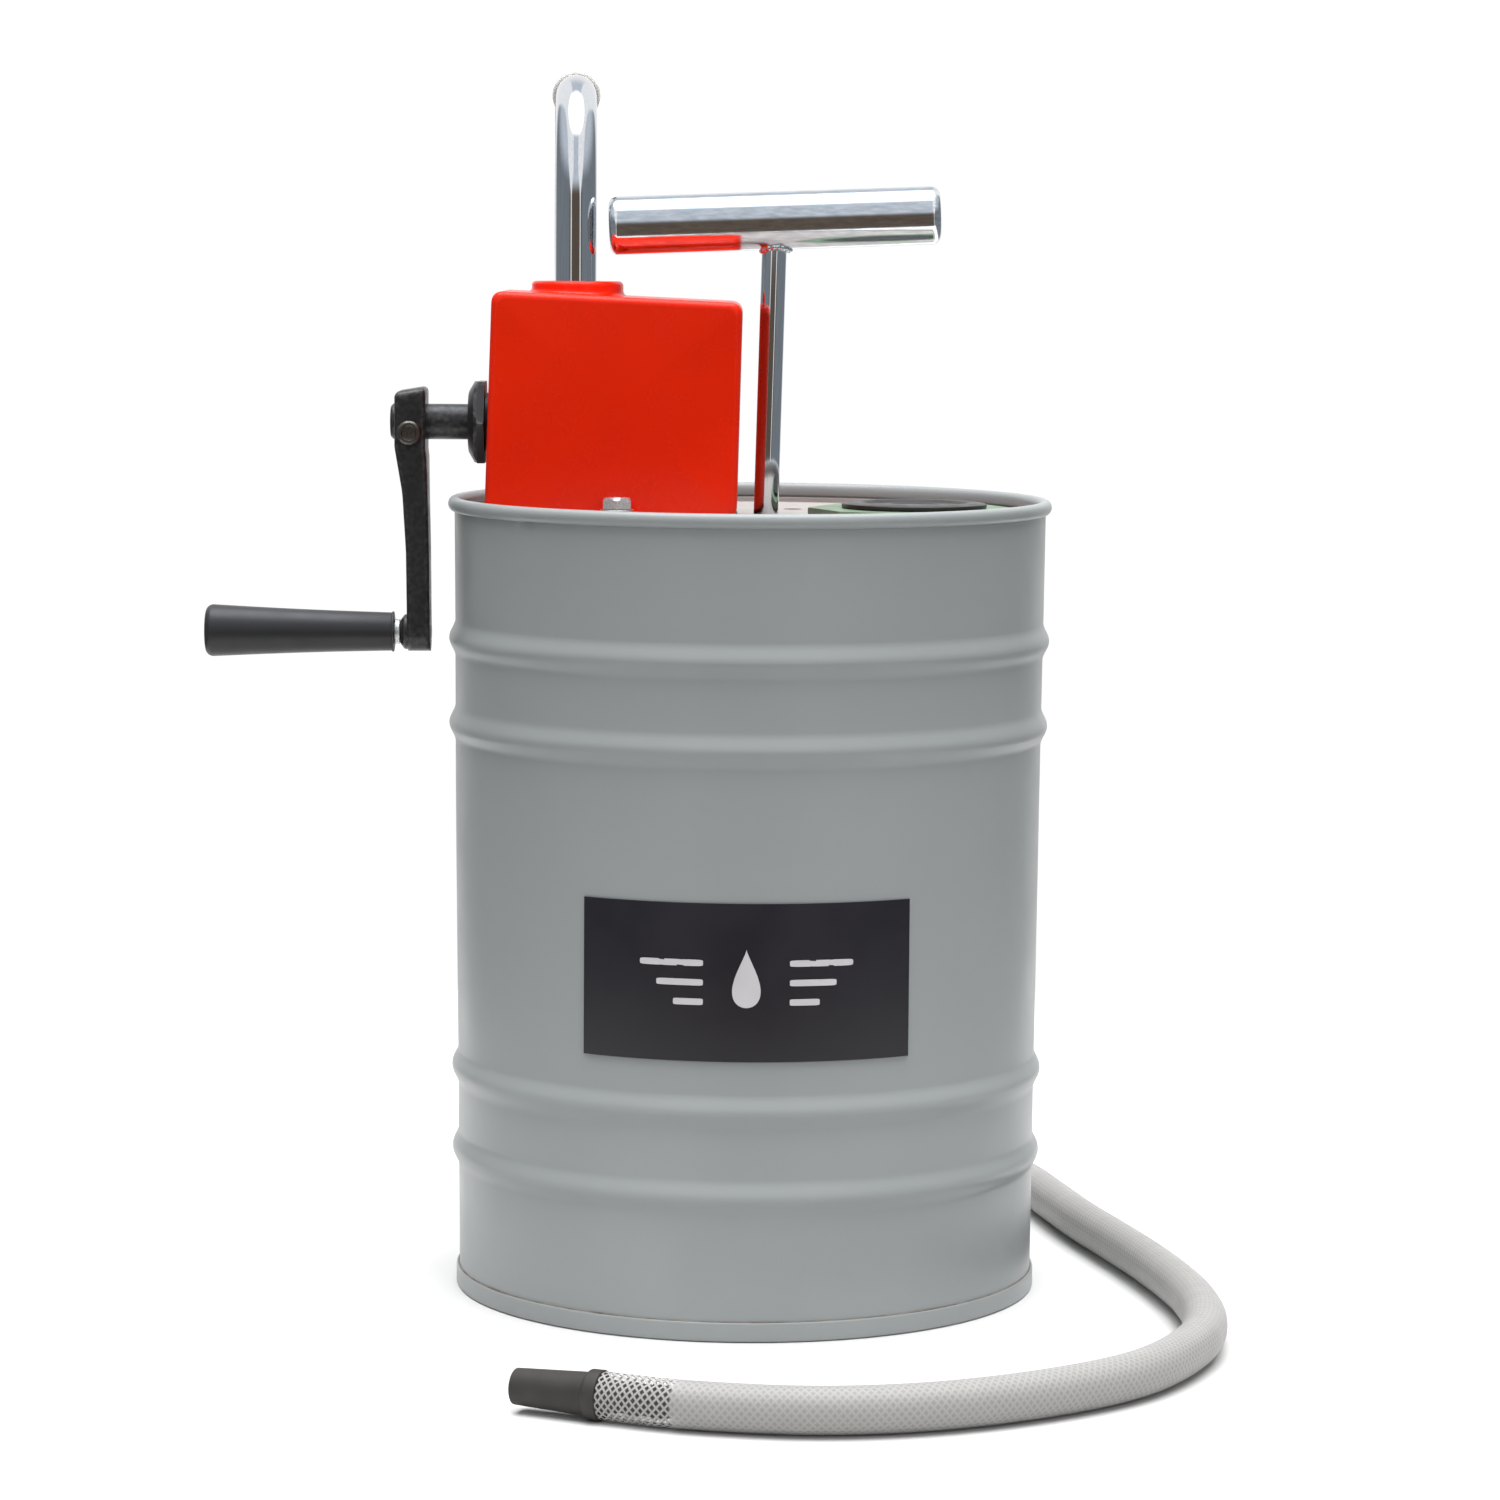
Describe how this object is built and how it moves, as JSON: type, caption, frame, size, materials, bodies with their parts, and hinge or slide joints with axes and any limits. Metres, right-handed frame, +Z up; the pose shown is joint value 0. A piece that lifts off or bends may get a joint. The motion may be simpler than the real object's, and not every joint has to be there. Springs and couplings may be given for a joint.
{
  "type": "gear oil pump",
  "caption": "Hand-cranked gear oil pump on a ribbed steel drum, with a gooseneck outlet, braided hose and nozzle, T-shaped carry handle and filler cap.",
  "frame": {"origin": "centre of the drum's flat underside, where it stands on the floor", "axes": "+Z up along the drum's axis, -Y the front with the label, +X to the right, with the crank on -X"},
  "size_m": [0.4854, 0.6191, 0.588],
  "materials": {
    "drum_paint": "satin grey enamel",
    "label_film": "printed film",
    "cover_paint": "satin pale grey enamel",
    "fibre": "dull fibre sheet",
    "green_paint": "satin green enamel",
    "black_plastic": "semi-gloss",
    "seal_rubber": "matte",
    "chrome": "polished chrome plate",
    "zinc": "bright zinc plate",
    "red_enamel": "gloss red enamel over a casting",
    "black_steel": "semi-gloss black",
    "cast_iron": "as machined",
    "steel": "ground",
    "bronze": "machined",
    "grip_plastic": "moulded, matte",
    "clear_hose": "clear with a braid inside",
    "nozzle_rubber": "matte"
  },
  "bodies": {
    "drum_and_pump": {"drum_shell": "drum_paint", "hose_run": "clear_hose", "outlet_pipe": "chrome", "gear_case": "cast_iron", "pump_housing": "red_enamel", "cover_plate": "cover_paint", "nozzle": "nozzle_rubber", "suction_strainer": "zinc", "drum_bottom": "drum_paint", "handle_bar": "chrome", "gland_nut": "black_steel", "gear_case_cover": "cast_iron", "housing_gasket": "fibre", "drum_label": "label_film", "filler_flange": "green_paint", "handle_rod": "chrome", "filler_gasket": "fibre", "handle_washer": "zinc", "housing_washer_front": "zinc", "housing_washer_rear": "zinc", "gland_packing": "fibre", "drive_bush_left": "bronze", "drive_bush_right": "bronze", "driven_bush_left": "bronze", "driven_bush_right": "bronze", "suction_pipe": "zinc", "gear_case_screw_1": "steel", "gear_case_screw_2": "steel", "gear_case_screw_3": "steel", "gear_case_screw_4": "steel", "handle_nut": "zinc", "housing_nut_front": "zinc", "housing_nut_rear": "zinc", "housing_bolt_front": "zinc", "housing_bolt_rear": "zinc", "case_bolt_front": "zinc", "case_bolt_rear": "zinc"},
    "crank": {"crank_shaft": "black_steel", "drive_gear": "steel", "drive_gear_key": "steel", "crank_arm": "black_steel", "crank_bolt": "black_steel", "crank_bolt_nut": "black_steel", "grip_spindle": "zinc"},
    "grip": {"crank_grip": "grip_plastic"},
    "idler": {"driven_gear": "steel", "idler_shaft": "steel"},
    "filler_cap": {"filler_cap": "black_plastic", "filler_cap_seal": "seal_rubber"}
  },
  "joints": [
    {"name": "crank_turn", "type": "hinge", "parent": "drum_and_pump", "child": "crank", "pos_m": [-0.15, -0.012, 0.4188], "axis": [1, 0, 0], "continuous": true},
    {"name": "grip_spin", "type": "hinge", "parent": "crank", "child": "grip", "pos_m": [-0.2, -0.012, 0.3177], "axis": [1, 0, 0], "continuous": true},
    {"name": "idler_turn", "type": "hinge", "parent": "drum_and_pump", "child": "idler", "pos_m": [-0.084, 0.012, 0.4188], "axis": [1, 0, 0], "continuous": true},
    {"name": "cap_lift", "type": "slide", "parent": "drum_and_pump", "child": "filler_cap", "axis": [0, 0, 1], "range_m": [0, 0.08]}
  ],
  "couplings": [
    {"joint": "idler_turn", "follows": "crank_turn", "ratio": -1}
  ]
}
